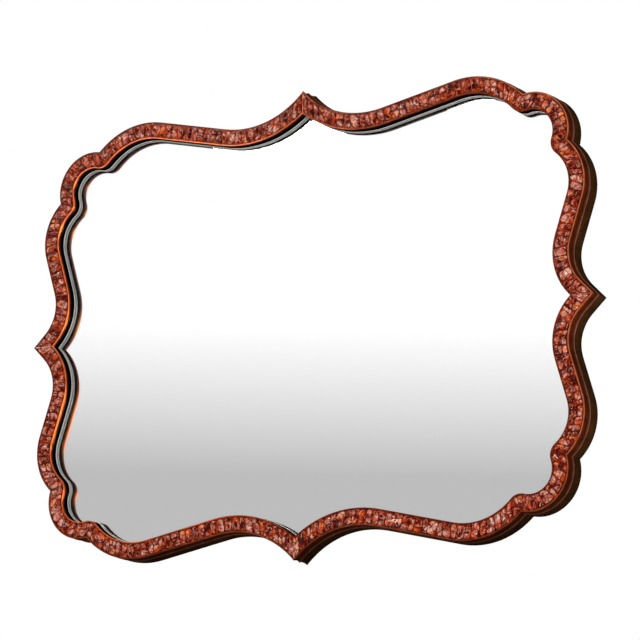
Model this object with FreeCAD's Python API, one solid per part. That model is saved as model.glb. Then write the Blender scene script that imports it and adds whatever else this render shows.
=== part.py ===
import FreeCAD, Part
import cmath
import math
import os
import random

os.makedirs("parts", exist_ok=True)

# Wall mirror with a scalloped mosaic frame. Millimetres, +Z up, the wall is the plane y = 0
# and the face looks towards -y. The origin is the middle of the outline, on the wall.

# Overall size
half_width = 508.0
half_height = 377.0
frame_depth = 42.0
face_width = 27.5

# Rim line of one quarter, from the top peak to the side peak: places are shares of the half
# sizes, radii are shares of the outline scale, which is the mean of the two half sizes
outline_scale = math.sqrt(half_width * half_height)
top_hollow_x_share = 0.2205
top_hollow_radius_share = 0.3475
top_shoulder_x_share = 0.5845
top_shoulder_z_share = 0.612
top_shoulder_radius_share = 0.298
corner_lobe_x_share = 0.793
corner_lobe_z_share = 0.687
corner_lobe_radius_share = 0.147
side_shoulder_x_share = 0.799
side_shoulder_z_share = 0.467
side_shoulder_radius_share = 0.201
side_waist_x_share = 0.920
side_hollow_radius_share = 0.151
notch_turn_offset = -5.0

# Metal strips round the outside and the inside of the frame
outer_strip_thickness = 2.2
inner_strip_thickness = 2.0
lip_chamfer = 0.7
cove_depth = 1.0
bead_height = 1.0
bead_width = 3.0
bead_setback = 18.0
back_flare = 1.5
cove_stations = 4
glue_line = 0.1

# Wooden core, with its glass rebate and its back recess
core_setback = 3.6
glass_setback = 15.5
sight_cover = 7.0
rim_thickness = 4.0
glass_play = 0.8

# Glass pack
tape_thickness = 1.0
tape_width = 6.6
glass_thickness = 5.0
silver_thickness = 0.3
panel_thickness = 5.7

# Mosaic chips on their bed, and the grout between them
bed_thickness = 1.2
chip_pitch = 12.5
chip_drift_share = 0.3
chip_gap = 0.8
chip_bevel = 1.3
chip_proud = 1.9
chip_unevenness = 0.5
chip_tilt = 0.05
chip_margin = 0.5
grout_setback = 0.6
chip_whole_share = 0.70
chip_halved_share = 0.92
chip_inner_split_share = 0.5
chip_split_share = (0.36, 0.64)
chip_clipped_share = 0.6
chip_clip_share = (0.20, 0.34)
chip_bevel_limit_share = 0.45
first_seed = 11

# Solder strips across the face at the four peaks
mitre_strip_width = 1.5
mitre_strip_setback = 0.3

# Loose tongues that join the core quarters at the peaks
tongue_length = 20.0
tongue_width = 12.0
tongue_thickness = 4.0
tongue_depth = 9.5
tongue_play = 0.1
tongue_inset = 5.0

# Screws
shank_radius = 1.6
shank_length = 9.0
head_radius = 2.9
head_height = 1.5
head_dome_radius = 2.0
slot_width = 0.8
slot_depth = 0.7
slot_length = 3.4
screw_play = 0.05
running_play = 0.08
lift = 0.3

# Corner braces on the back of the peaks
brace_arm = 30.0
brace_width = 9.0
brace_thickness = 1.5
brace_screw_share = (0.42, 0.82)
brace_back_share = 0.30

# Turn buttons that hold the back panel
button_reach = 15.0
button_radius = 4.5
button_tip_radius = 3.5
button_thickness = 1.2

# Strap hangers and their D-rings
strap_width = 9.6
strap_length = 25.0
strap_thickness = 1.0
strap_screws = (7.0, 20.0)
ring_wire_radius = 1.3
ring_drop = 13.0
ring_side_play = 0.4
hanger_inset = 2.2
hanger_drop = 4.0

# One overrun serves every cut
overrun = 5.0

# Levels along y, counted from the wall towards the room
face_y = -frame_depth
core_front_y = face_y + core_setback
seat_y = face_y + glass_setback
glass_front_y = seat_y + tape_thickness
silver_y = glass_front_y + glass_thickness
panel_front_y = silver_y + silver_thickness
land_y = panel_front_y + panel_thickness
bed_y = core_front_y - bed_thickness
grout_y = face_y + grout_setback

# Offsets from the rim line, outwards positive
core_outer = -(outer_strip_thickness + glue_line)
core_inner = -(face_width - inner_strip_thickness - glue_line)
rebate_edge = sight_cover - face_width
rim_inner = core_outer - rim_thickness
land_middle = (rebate_edge + rim_inner) / 2
band_middle = (core_outer + core_inner) / 2

quarters = {
    "top_right": (1, 1),
    "top_left": (-1, 1),
    "bottom_left": (-1, -1),
    "bottom_right": (1, -1),
}


# Rim line

def mix(start, end, share):
    return start + (end - start) * share


def inner_tangent(centre_a, radius_a, centre_b, radius_b, side):
    gap = centre_b - centre_a
    turn = math.acos((radius_a + radius_b) / abs(gap))
    normal = cmath.rect(1, cmath.phase(gap) + side * turn)
    return centre_a + radius_a * normal, centre_b - radius_b * normal


def outer_crossing(centre_a, radius_a, centre_b, radius_b):
    gap = centre_b - centre_a
    along = (radius_a ** 2 - radius_b ** 2 + abs(gap) ** 2) / (2 * abs(gap))
    across = math.sqrt(radius_a ** 2 - along ** 2)
    unit = gap / abs(gap)
    crossings = (centre_a + unit * complex(along, across), centre_a + unit * complex(along, -across))
    return max(crossings, key=abs)


def rim_centres():
    hollow_radius = outline_scale * top_hollow_radius_share
    hollow_x = half_width * top_hollow_x_share
    hollow_z = half_height + math.sqrt(hollow_radius ** 2 - hollow_x ** 2)
    waist_radius = outline_scale * side_hollow_radius_share
    waist_x = half_width * side_waist_x_share + waist_radius
    waist_z = half_width - waist_x + waist_radius * math.sqrt(2)
    return (
        complex(hollow_x, hollow_z),
        complex(half_width * top_shoulder_x_share, half_height * top_shoulder_z_share),
        complex(half_width * corner_lobe_x_share, half_height * corner_lobe_z_share),
        complex(half_width * side_shoulder_x_share, half_height * side_shoulder_z_share),
        complex(waist_x, waist_z),
    )


def notch_turn(centre_a, radius_a, centre_b, radius_b, offset):
    """Two halves of the turn round a notch, which is sharp outside the turn's offset."""
    turn_offset = max(offset, notch_turn_offset)
    corner = outer_crossing(centre_a, radius_a + turn_offset, centre_b, radius_b + turn_offset)
    away_a = (corner - centre_a) / abs(corner - centre_a)
    away_b = (corner - centre_b) / abs(corner - centre_b)
    away_middle = (away_a + away_b) / abs(away_a + away_b)
    reach = offset - turn_offset
    centre = corner if reach < 0 else None
    middle = corner + away_middle * reach
    return (centre, corner + away_a * reach, middle), (centre, middle, corner + away_b * reach)


def rim_line(offset):
    """Twelve pieces of a quarter, moved outwards by offset: (centre or None, start, end)."""
    hollow, shoulder, lobe, flank, waist = rim_centres()
    shoulder_rim = outline_scale * top_shoulder_radius_share
    lobe_rim = outline_scale * corner_lobe_radius_share
    flank_rim = outline_scale * side_shoulder_radius_share
    hollow_radius = outline_scale * top_hollow_radius_share - offset
    waist_radius = outline_scale * side_hollow_radius_share - offset
    top_peak = complex(0, hollow.imag - math.sqrt(hollow_radius ** 2 - hollow.real ** 2))
    side_peak = complex(half_width + offset * math.sqrt(2), 0)
    hollow_end, shoulder_start = inner_tangent(
        hollow, hollow_radius, shoulder, shoulder_rim + offset, -1
    )
    upper_in, upper_out = notch_turn(shoulder, shoulder_rim, lobe, lobe_rim, offset)
    lower_in, lower_out = notch_turn(lobe, lobe_rim, flank, flank_rim, offset)
    waist_start, flank_end = inner_tangent(waist, waist_radius, flank, flank_rim + offset, 1)
    waist_end = waist - waist_radius * complex(1, 1) / math.sqrt(2)
    return [
        (hollow, top_peak, hollow_end),
        (None, hollow_end, shoulder_start),
        (shoulder, shoulder_start, upper_in[1]),
        upper_in,
        upper_out,
        (lobe, upper_out[2], lower_in[1]),
        lower_in,
        lower_out,
        (flank, lower_out[2], flank_end),
        (None, flank_end, waist_start),
        (waist, waist_start, waist_end),
        (None, waist_end, side_peak),
    ]


def piece_point(piece, share):
    centre, start, end = piece
    if centre is None:
        return mix(start, end, share)
    sweep = cmath.phase((end - centre) / (start - centre))
    return centre + (start - centre) * cmath.rect(1, sweep * share)


def piece_length(piece):
    centre, start, end = piece
    if centre is None:
        return abs(end - start)
    return abs(start - centre) * abs(cmath.phase((end - centre) / (start - centre)))


def place(point, y):
    return FreeCAD.Vector(point.real, y, point.imag)


def straight(start, end, y):
    return Part.LineSegment(place(start, y), place(end, y)).toShape()


def rim_edges(offset, y):
    edges = []
    for piece in rim_line(offset):
        centre, start, end = piece
        if start == end:
            continue
        if centre is None:
            edges.append(straight(start, end, y))
        else:
            middle = piece_point(piece, 0.5)
            edges.append(Part.Arc(place(start, y), place(middle, y), place(end, y)).toShape())
    return edges


def mirrored(shape, across, up):
    if across < 0:
        shape = shape.mirror(FreeCAD.Vector(), FreeCAD.Vector(1, 0, 0))
    if up < 0:
        shape = shape.mirror(FreeCAD.Vector(), FreeCAD.Vector(0, 0, 1))
    return shape


def strip_wire(outer, inner, y):
    outer_rim = rim_line(outer)
    inner_rim = rim_line(inner)
    edges = rim_edges(outer, y)
    edges.append(straight(outer_rim[-1][2], inner_rim[-1][2], y))
    edges.extend(reversed(rim_edges(inner, y)))
    edges.append(straight(inner_rim[0][1], outer_rim[0][1], y))
    return Part.Wire(edges)


def strip_prism(outer, inner, front, back):
    return Part.Face(strip_wire(outer, inner, front)).extrude(FreeCAD.Vector(0, back - front, 0))


def full_face(offset, y):
    edges = []
    for across, up in quarters.values():
        for edge in rim_edges(offset, y):
            edges.append(mirrored(edge, across, up))
    return Part.Face(Part.Wire(Part.__sortEdges__(edges)))


def full_prism(offset, front, back):
    return full_face(offset, front).extrude(FreeCAD.Vector(0, back - front, 0))


def box_between(low, high):
    size = high - low
    return Part.makeBox(size.x, size.y, size.z, low)


def save(shape, name):
    shape.exportStep("parts/" + name + ".step")


# Core: front ledge, middle body and back rim in one piece of wood for each quarter

def tongue_middle(name):
    """Middle of the tongue at the top or the right peak, a little inside the band's middle."""
    index, end = (0, 1) if name == "top" else (-1, 2)
    outer = rim_line(core_outer)[index][end]
    inner = rim_line(core_inner)[index][end]
    outwards = outer / abs(outer)
    return (outer + inner) / 2 - outwards * tongue_inset


def tongue_box(name, play):
    reach = tongue_length / 2 + play
    wide = tongue_width / 2 + play
    half = complex(reach, wide) if name == "top" else complex(wide, reach)
    low_y = face_y + tongue_depth - play
    high_y = face_y + tongue_depth + tongue_thickness + play
    middle = tongue_middle(name)
    return box_between(place(middle - half, low_y), place(middle + half, high_y))


def core_quarter():
    front = strip_prism(core_outer, core_inner, core_front_y, seat_y)
    body = strip_prism(core_outer, rebate_edge, seat_y, land_y)
    rim = strip_prism(core_outer, rim_inner, land_y, 0)
    core = front.fuse([body, rim]).removeSplitter()
    return core.cut([tongue_box("top", tongue_play), tongue_box("right", tongue_play)])


# Outer strip: a lip, a cove, a thin bead and a second cove that flares to the wall

def outer_profile():
    """Pairs of distance behind the lip and offset of the strip's outer face."""
    bead_front = bead_setback - bead_width / 2
    bead_back = bead_setback + bead_width / 2
    profile = [(0, -lip_chamfer), (lip_chamfer, 0)]
    for step in range(1, cove_stations):
        share = step / cove_stations
        setback = mix(lip_chamfer, bead_front, share)
        profile.append((setback, -cove_depth * math.sin(math.pi * share)))
    profile.append((bead_front, 0))
    profile.append((bead_setback - bead_width / 4, bead_height * math.sin(math.pi / 4)))
    profile.append((bead_setback, bead_height))
    profile.append((bead_setback + bead_width / 4, bead_height * math.sin(math.pi / 4)))
    profile.append((bead_back, 0))
    for step in range(1, cove_stations):
        share = step / cove_stations
        setback = mix(bead_back, frame_depth, share)
        rise = back_flare * share ** 2 - cove_depth * math.sin(math.pi * share) / 2
        profile.append((setback, rise))
    profile.append((frame_depth, back_flare))
    return profile


def outer_strip_quarter():
    wires = []
    for setback, offset in outer_profile():
        wires.append(strip_wire(offset, -outer_strip_thickness, face_y + setback))
    return Part.makeLoft(wires, True, True)


def inner_strip_quarter():
    edge = -face_width
    back = edge + inner_strip_thickness
    wires = [
        strip_wire(back - lip_chamfer, edge + lip_chamfer, face_y),
        strip_wire(back, edge, face_y + lip_chamfer),
        strip_wire(back, edge, seat_y),
    ]
    return Part.makeLoft(wires, True, True)


# Mosaic: chips are laid from peak to peak in three runs, parted at the notches. A run is a
# row of stretches, and a stretch is a row of pieces of the rim line that are shared out as one

chip_runs = (
    ((0,), (1,), (2, 3)),
    ((4, 5, 6),),
    ((7, 8), (9,), (10,), (11,)),
)
chip_outer = core_outer - chip_margin
chip_inner = core_inner + chip_margin


def stretch_pieces(stretch, offset):
    line = rim_line(offset)
    return [line[index] for index in stretch]


def stretch_length(stretch, offset):
    return sum(piece_length(piece) for piece in stretch_pieces(stretch, offset))


def stretch_point(stretch, share, offset):
    distance = share * stretch_length(stretch, offset)
    pieces = stretch_pieces(stretch, offset)
    for piece in pieces:
        length = piece_length(piece)
        if distance < length:
            return piece_point(piece, distance / length)
        distance -= length
    return pieces[-1][2]


def run_point(run, distance, offset):
    """Point at an offset, beside the place that lies at a distance along the band's middle."""
    for stretch in run:
        length = stretch_length(stretch, band_middle)
        if distance <= length or stretch == run[-1]:
            return stretch_point(stretch, distance / length, offset)
        distance -= length


def cell_point(run, cuts, along, across):
    """Corner of a chip, kept clear of the solder strips on the two axes."""
    (near_inner, near_outer), (far_inner, far_outer) = cuts
    near = mix(near_inner, near_outer, across)
    far = mix(far_inner, far_outer, across)
    offset = mix(chip_inner, chip_outer, across)
    point = run_point(run, mix(near, far, along), offset)
    clear = mitre_strip_width / 2
    return complex(max(point.real, clear), max(point.imag, clear))


def cell_shapes(rng):
    """Corners of the chips of one cell, as shares along and across the band."""
    kind = rng.random()
    low = rng.uniform(*chip_split_share)
    high = rng.uniform(*chip_split_share)
    if kind < chip_whole_share:
        return [[(0, 0), (1, 0), (1, 1), (0, 1)]]
    inner = [(0, 0), (1, 0), (1, high), (0, low)]
    outer = [(0, low), (1, high), (1, 1), (0, 1)]
    if kind < chip_halved_share:
        return [inner, outer]
    foot = rng.uniform(*chip_split_share)
    head = rng.uniform(*chip_split_share)
    meet = mix(low, high, head)
    if rng.random() < chip_inner_split_share:
        left = [(0, 0), (foot, 0), (head, meet), (0, low)]
        right = [(foot, 0), (1, 0), (1, high), (head, meet)]
        return [left, right, outer]
    left = [(0, low), (head, meet), (foot, 1), (0, 1)]
    right = [(head, meet), (1, high), (1, 1), (foot, 1)]
    return [inner, left, right]


def clip_corner(points, rng):
    """Breaks one corner off a chip."""
    index = rng.randrange(len(points))
    corner = points[index]
    before = points[index - 1]
    after = points[(index + 1) % len(points)]
    cut = rng.uniform(*chip_clip_share)
    return points[:index] + [mix(corner, before, cut), mix(corner, after, cut)] + points[index + 1:]


def turns(points):
    area = sum((points[i - 1].conjugate() * points[i]).imag for i in range(len(points)))
    return area / 2


def inset(points, distance):
    """Draws each side of a chip inwards by distance."""
    side = 1 if turns(points) > 0 else -1
    lines = []
    for index, point in enumerate(points):
        direction = points[(index + 1) % len(points)] - point
        direction /= abs(direction)
        lines.append((point + direction * 1j * side * distance, direction))
    result = []
    for index in range(len(lines)):
        first, along = lines[index - 1]
        second, onward = lines[index]
        cross = (along.conjugate() * onward).imag
        reach = ((second - first).conjugate() * onward).imag / cross
        result.append(first + along * reach)
    return result


def mean_half_breadth(points):
    perimeter = sum(abs(points[i] - points[i - 1]) for i in range(len(points)))
    return 2 * abs(turns(points)) / perimeter


def chip_wire(points, level):
    corners = [FreeCAD.Vector(point.real, level(point), point.imag) for point in points]
    return Part.makePolygon(corners + corners[:1])


def chip_solid(points, rng):
    """Straight sides from the bed, then a bevel up to a top that tilts a little."""
    bevel_share = min(chip_bevel / mean_half_breadth(points), chip_bevel_limit_share)
    top_y = face_y - chip_proud - chip_unevenness * rng.uniform(-1, 1)
    shoulder_drop = bevel_share * mean_half_breadth(points)
    slope = complex(rng.uniform(-chip_tilt, chip_tilt), rng.uniform(-chip_tilt, chip_tilt))
    middle = sum(points) / len(points)
    top_points = [mix(point, middle, bevel_share) for point in points]

    def top_level(point):
        return top_y + ((point - middle).conjugate() * slope).real

    wires = [
        chip_wire(points, lambda point: bed_y),
        chip_wire(points, lambda point: top_level(point) + shoulder_drop),
        chip_wire(top_points, top_level),
    ]
    return Part.makeLoft(wires, True, True)


def lay_cuts(run, rng):
    """Cut lines across the band: places of their inner and outer ends along the run."""
    length = sum(stretch_length(stretch, band_middle) for stretch in run)
    cells = round(length / chip_pitch)
    pitch = length / cells
    drift = pitch * chip_drift_share
    cuts = [(0, 0)]
    for number in range(1, cells):
        inner = number * pitch + rng.uniform(-drift, drift)
        outer = number * pitch + rng.uniform(-drift, drift)
        cuts.append((inner, outer))
    cuts.append((length, length))
    return cuts


def chip_outlines(rng):
    """Corners of every chip of a quarter, drawn in by half of the gap between chips."""
    outlines = []
    for run in chip_runs:
        cuts = lay_cuts(run, rng)
        for pair in zip(cuts[:-1], cuts[1:]):
            for shares in cell_shapes(rng):
                points = [cell_point(run, pair, along, across) for along, across in shares]
                if rng.random() < chip_clipped_share:
                    points = clip_corner(points, rng)
                outlines.append(inset(points, chip_gap / 2))
    return outlines


def peak_cutters(play):
    """Slots for the solder strips at the two peaks of a quarter, widened by play."""
    half = mitre_strip_width / 2 + play
    reach = max(half_width, half_height) + overrun
    upright = box_between(
        FreeCAD.Vector(-half, face_y - overrun, 0),
        FreeCAD.Vector(half, core_front_y + overrun, reach),
    )
    level = box_between(
        FreeCAD.Vector(0, face_y - overrun, -half),
        FreeCAD.Vector(reach, core_front_y + overrun, half),
    )
    return [upright, level]


def bed_quarter():
    bed = strip_prism(core_outer, core_inner, bed_y, core_front_y)
    return bed.cut(peak_cutters(glue_line))


def grout_quarter(outlines):
    """Resin round the chips: the strip of the face with a hole for each chip."""
    face = Part.Face(strip_wire(core_outer, core_inner, grout_y))
    holes = [Part.Face(chip_wire(points, lambda point: grout_y)) for points in outlines]
    face = face.cut(holes + peak_cutters(glue_line))
    return face.extrude(FreeCAD.Vector(0, bed_y - grout_y, 0))


def mitre_strips():
    """One solder strip for each peak, from the core's front to just under the lips."""
    front = face_y + mitre_strip_setback
    blank = strip_prism(core_outer, core_inner, front, core_front_y)
    upright, level = peak_cutters(0)
    top_half = blank.common(upright)
    side_half = blank.common(level)
    top = top_half.fuse(mirrored(top_half, -1, 1)).removeSplitter()
    right = side_half.fuse(mirrored(side_half, 1, -1)).removeSplitter()
    return {
        "solder_strip_top": top,
        "solder_strip_bottom": mirrored(top, 1, -1),
        "solder_strip_right": right,
        "solder_strip_left": mirrored(right, -1, 1),
    }


# Glass pack: tape on the ledge, glass, its silver coat and the back panel

def tape_ring():
    outer = rebate_edge - glass_play
    ring = full_face(outer, seat_y).cut(full_face(outer - tape_width, seat_y))
    return ring.extrude(FreeCAD.Vector(0, tape_thickness, 0))


# Back hardware

def y_cylinder(radius, front, back, point):
    return Part.makeCylinder(radius, back - front, place(point, front), FreeCAD.Vector(0, 1, 0))


def slot_box(point, back, along_x):
    half_long = slot_length / 2
    half_wide = slot_width / 2
    reach_x = half_long if along_x else half_wide
    reach_z = half_wide if along_x else half_long
    low = FreeCAD.Vector(point.real - reach_x, back - slot_depth, point.imag - reach_z)
    high = FreeCAD.Vector(point.real + reach_x, back + overrun, point.imag + reach_z)
    return box_between(low, high)


def screw(point, seat):
    """Pan-head screw with a cross recess; seat is the level under its head."""
    shank = y_cylinder(shank_radius, seat - shank_length, seat, point)
    axis = FreeCAD.Vector(0, 1, 0)
    head = Part.makeCone(head_radius, head_dome_radius, head_height, place(point, seat), axis)
    recess = slot_box(point, seat + head_height, True).fuse(slot_box(point, seat + head_height, False))
    return shank.fuse(head).removeSplitter().cut(recess)


def screw_hole(point):
    return y_cylinder(shank_radius + screw_play, land_y - shank_length - overrun, land_y + overrun, point)


def button_places():
    """Pivots of one quarter's two turn buttons, each with its direction onto the panel."""
    _, shoulder, _, _, waist = rim_centres()
    shoulder_reach = outline_scale * top_shoulder_radius_share + land_middle
    waist_reach = outline_scale * side_hollow_radius_share - land_middle
    return [
        (shoulder + complex(0, shoulder_reach), complex(0, -1)),
        (waist - complex(waist_reach, 0), complex(-1, 0)),
    ]


def turn_button(point, direction):
    front = land_y + lift
    back = front + button_thickness
    tip = point + direction * button_reach
    side = direction * 1j
    corners = [
        point + side * button_radius,
        tip + side * button_tip_radius,
        tip - side * button_tip_radius,
        point - side * button_radius,
    ]
    outline = Part.makePolygon([place(corner, front) for corner in corners + corners[:1]])
    blade = Part.Face(outline).extrude(FreeCAD.Vector(0, button_thickness, 0))
    eye = y_cylinder(button_radius, front, back, point)
    nose = y_cylinder(button_tip_radius, front, back, tip)
    hole = y_cylinder(shank_radius + running_play, front - overrun, back + overrun, point)
    return blade.fuse([eye, nose]).removeSplitter().cut(hole)


def brace_frame(peak, onward):
    """Unit direction of the brace's arm, from the peak towards a point on the land."""
    return (onward - peak) / abs(onward - peak)


def brace_layout():
    """Apex and arm direction of the top and the right brace, on the middle of the land."""
    middle = rim_line(land_middle)
    top_apex = middle[0][1]
    top_piece = middle[0]
    top_share = brace_arm / piece_length(top_piece)
    top_arm = brace_frame(top_apex, piece_point(top_piece, top_share))
    side_apex = middle[-1][2]
    side_arm = brace_frame(side_apex, middle[-1][1])
    return {"top": (top_apex, top_arm), "right": (side_apex, side_arm)}


def brace_screw_points(apex, arm):
    return [apex + arm * brace_arm * share for share in brace_screw_share]


def brace_arm_plate(apex, arm):
    half = brace_width / 2
    side = arm * 1j * half
    back = apex - arm * brace_width * brace_back_share
    corners = [back + side, apex + arm * brace_arm + side, apex + arm * brace_arm - side, back - side]
    outline = Part.makePolygon([place(corner, land_y) for corner in corners + corners[:1]])
    return Part.Face(outline).extrude(FreeCAD.Vector(0, brace_thickness, 0))


def brace_holes(points):
    holes = []
    for point in points:
        front = land_y - overrun
        back = land_y + brace_thickness + overrun
        holes.append(y_cylinder(shank_radius + screw_play, front, back, point))
    return holes


def brace(name):
    apex, arm = brace_layout()[name]
    flipped = (-1, 1) if name == "top" else (1, -1)
    half = brace_arm_plate(apex, arm).cut(brace_holes(brace_screw_points(apex, arm)))
    return half.fuse(mirrored(half, *flipped)).removeSplitter()


def hanger_place():
    """Middle of the right hanger's ring bar, on the land of the upper side shoulder."""
    _, _, _, flank, _ = rim_centres()
    reach = outline_scale * side_shoulder_radius_share + land_middle - hanger_inset
    return flank + complex(reach, -hanger_drop)


def bar_y():
    return land_y + strap_thickness + running_play + ring_wire_radius + lift / 2


def strap_screw_points():
    return [hanger_place() + complex(0, rise) for rise in strap_screws]


def x_cylinder(radius, length, middle, y):
    start = FreeCAD.Vector(middle.real - length / 2, y, middle.imag)
    return Part.makeCylinder(radius, length, start, FreeCAD.Vector(1, 0, 0))


def strap_hanger():
    middle = hanger_place()
    bore_radius = ring_wire_radius + running_play
    low = FreeCAD.Vector(middle.real - strap_width / 2, land_y, middle.imag)
    high = FreeCAD.Vector(
        middle.real + strap_width / 2,
        land_y + strap_thickness,
        middle.imag + strap_length,
    )
    plate = box_between(low, high)
    curl_radius = bore_radius + strap_thickness
    curl = x_cylinder(curl_radius, strap_width, middle, bar_y())
    bore = x_cylinder(bore_radius, strap_width + overrun, middle, bar_y())
    holes = brace_holes(strap_screw_points())
    below = box_between(
        FreeCAD.Vector(middle.real - strap_width, land_y - overrun, middle.imag - strap_length),
        FreeCAD.Vector(middle.real + strap_width, land_y, middle.imag + strap_length),
    )
    return plate.fuse(curl).removeSplitter().cut([bore, below] + holes)


def ring_half_width():
    return strap_width / 2 + ring_side_play + ring_wire_radius


def d_ring():
    """Wire ring: a straight bar, two legs and a round end that hangs down."""
    middle = hanger_place()
    y = bar_y()
    half = ring_half_width()
    leg = ring_drop + ring_wire_radius - half
    bar = x_cylinder(ring_wire_radius, 2 * half, middle, y)
    pieces = []
    for side in (-half, half):
        top = FreeCAD.Vector(middle.real + side, y, middle.imag)
        pieces.append(Part.makeCylinder(ring_wire_radius, leg, top, FreeCAD.Vector(0, 0, -1)))
        pieces.append(Part.makeSphere(ring_wire_radius, top))
    centre = FreeCAD.Vector(middle.real, y, middle.imag - leg)
    torus = Part.makeTorus(half, ring_wire_radius, centre, FreeCAD.Vector(0, 1, 0))
    reach = half + ring_wire_radius + overrun
    lower = box_between(
        centre + FreeCAD.Vector(-reach, -reach, -reach),
        centre + FreeCAD.Vector(reach, reach, 0),
    )
    pieces.append(torus.common(lower))
    return bar.fuse(pieces).removeSplitter()


# Writing the pieces

def quarter_screw_points():
    """Every screw that a quarter of the core takes, top right."""
    points = [point for point, direction in button_places()]
    for apex, arm in brace_layout().values():
        points.extend(brace_screw_points(apex, arm))
    return points


def write_quarters():
    core = core_quarter().cut([screw_hole(point) for point in quarter_screw_points()])
    hung_core = core.cut([screw_hole(point) for point in strap_screw_points()])
    outer_strip = outer_strip_quarter()
    inner_strip = inner_strip_quarter()
    bed = bed_quarter()
    for number, (name, (across, up)) in enumerate(quarters.items()):
        wood = hung_core if up > 0 else core
        rng = random.Random(first_seed + number)
        outlines = chip_outlines(rng)
        chips = [chip_solid(points, rng) for points in outlines]
        grout = grout_quarter(outlines)
        save(mirrored(wood, across, up), "core_" + name)
        save(mirrored(outer_strip, across, up), "outer_strip_" + name)
        save(mirrored(inner_strip, across, up), "inner_strip_" + name)
        save(mirrored(bed, across, up), "resin_bed_" + name)
        save(mirrored(grout, across, up), "resin_grout_" + name)
        save(mirrored(Part.Compound(chips), across, up), "mosaic_chips_" + name)


def write_joints():
    for name, strip in mitre_strips().items():
        save(strip, name)
    top_tongue = tongue_box("top", 0)
    side_tongue = tongue_box("right", 0)
    save(top_tongue, "joint_tongue_top")
    save(mirrored(top_tongue, 1, -1), "joint_tongue_bottom")
    save(side_tongue, "joint_tongue_right")
    save(mirrored(side_tongue, -1, 1), "joint_tongue_left")
    save(brace("top"), "corner_brace_top")
    save(mirrored(brace("top"), 1, -1), "corner_brace_bottom")
    save(brace("right"), "corner_brace_right")
    save(mirrored(brace("right"), -1, 1), "corner_brace_left")


def write_glass_pack():
    edge = rebate_edge - glass_play
    save(tape_ring(), "glazing_tape")
    save(full_prism(edge, glass_front_y, silver_y), "mirror_glass")
    save(full_prism(edge, silver_y, panel_front_y), "silver_coat")
    save(full_prism(edge, panel_front_y, land_y), "back_panel")


def write_hardware():
    brace_screws = []
    button_screws = []
    brace_seat = land_y + brace_thickness
    button_seat = land_y + button_thickness + 2 * lift
    for name, (across, up) in quarters.items():
        for apex, arm in brace_layout().values():
            for point in brace_screw_points(apex, arm):
                brace_screws.append(mirrored(screw(point, brace_seat), across, up))
        for spot, (point, direction) in zip(("shoulder", "waist"), button_places()):
            button_screws.append(mirrored(screw(point, button_seat), across, up))
            button = turn_button(point, direction)
            save(mirrored(button, across, up), "turn_button_" + name + "_" + spot)
    save(Part.Compound(brace_screws), "brace_screws")
    save(Part.Compound(button_screws), "button_screws")
    strap_seat = land_y + strap_thickness
    strap_fixings = []
    for name, across in (("right", 1), ("left", -1)):
        save(mirrored(strap_hanger(), across, 1), "strap_hanger_" + name)
        save(mirrored(d_ring(), across, 1), "d_ring_" + name)
        for point in strap_screw_points():
            strap_fixings.append(mirrored(screw(point, strap_seat), across, 1))
    save(Part.Compound(strap_fixings), "strap_screws")


write_quarters()
write_joints()
write_glass_pack()
write_hardware()
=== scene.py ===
import math

import bmesh
import bpy
from mathutils import Matrix, Vector


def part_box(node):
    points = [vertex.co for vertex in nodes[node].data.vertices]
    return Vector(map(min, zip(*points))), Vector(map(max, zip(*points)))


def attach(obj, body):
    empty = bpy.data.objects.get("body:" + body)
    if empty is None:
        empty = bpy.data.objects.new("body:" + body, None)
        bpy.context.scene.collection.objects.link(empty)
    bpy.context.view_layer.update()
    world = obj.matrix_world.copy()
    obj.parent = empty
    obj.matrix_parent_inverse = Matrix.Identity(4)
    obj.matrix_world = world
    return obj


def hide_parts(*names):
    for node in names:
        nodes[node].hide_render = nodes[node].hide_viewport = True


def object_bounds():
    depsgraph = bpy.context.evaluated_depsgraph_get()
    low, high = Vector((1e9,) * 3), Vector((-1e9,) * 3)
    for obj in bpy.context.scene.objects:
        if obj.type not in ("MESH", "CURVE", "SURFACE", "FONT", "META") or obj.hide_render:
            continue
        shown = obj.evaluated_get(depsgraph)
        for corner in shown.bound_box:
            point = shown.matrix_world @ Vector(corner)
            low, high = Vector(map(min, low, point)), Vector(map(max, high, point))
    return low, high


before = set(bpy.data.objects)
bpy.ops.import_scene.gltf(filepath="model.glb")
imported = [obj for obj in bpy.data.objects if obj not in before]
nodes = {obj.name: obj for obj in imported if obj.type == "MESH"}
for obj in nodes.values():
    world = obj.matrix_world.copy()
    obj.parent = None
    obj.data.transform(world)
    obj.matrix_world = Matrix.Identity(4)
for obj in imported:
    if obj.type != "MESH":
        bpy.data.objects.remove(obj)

cad_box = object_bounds()


# Wooden core: four quarters sawn from poplar board, rebated at the back for the glass, and
# glued over a loose tongue at each peak. The wood is left raw: only its back shows.

millimetre = 0.001
quarters = ("top_right", "top_left", "bottom_left", "bottom_right")
peaks = ("top", "bottom", "left", "right")


def to_linear(code):
    """Linear colour of an sRGB hex value."""
    shares = [int(code[start:start + 2], 16) / 255 for start in (1, 3, 5)]
    channels = [s / 12.92 if s <= 0.04045 else ((s + 0.055) / 1.055) ** 2.4 for s in shares]
    return (*channels, 1.0)


def per(size):
    """Texture scale whose pattern repeats about every size, given in millimetres."""
    return 1 / (size * millimetre)


def add_node(tree, kind, inputs=None, stops=None, **settings):
    """Adds a node; an input is a value or the output that feeds it."""
    node = tree.nodes.new(kind)
    for name, value in settings.items():
        setattr(node, name, value)
    for name, value in (inputs or {}).items():
        if isinstance(value, bpy.types.NodeSocket):
            tree.links.new(value, node.inputs[name])
        else:
            node.inputs[name].default_value = value
    if stops:
        elements = node.color_ramp.elements
        elements.remove(elements[1])
        elements[0].position, elements[0].color = stops[0][0], to_linear(stops[0][1])
        for position, code in stops[1:]:
            elements.new(position).color = to_linear(code)
    return node


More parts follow.
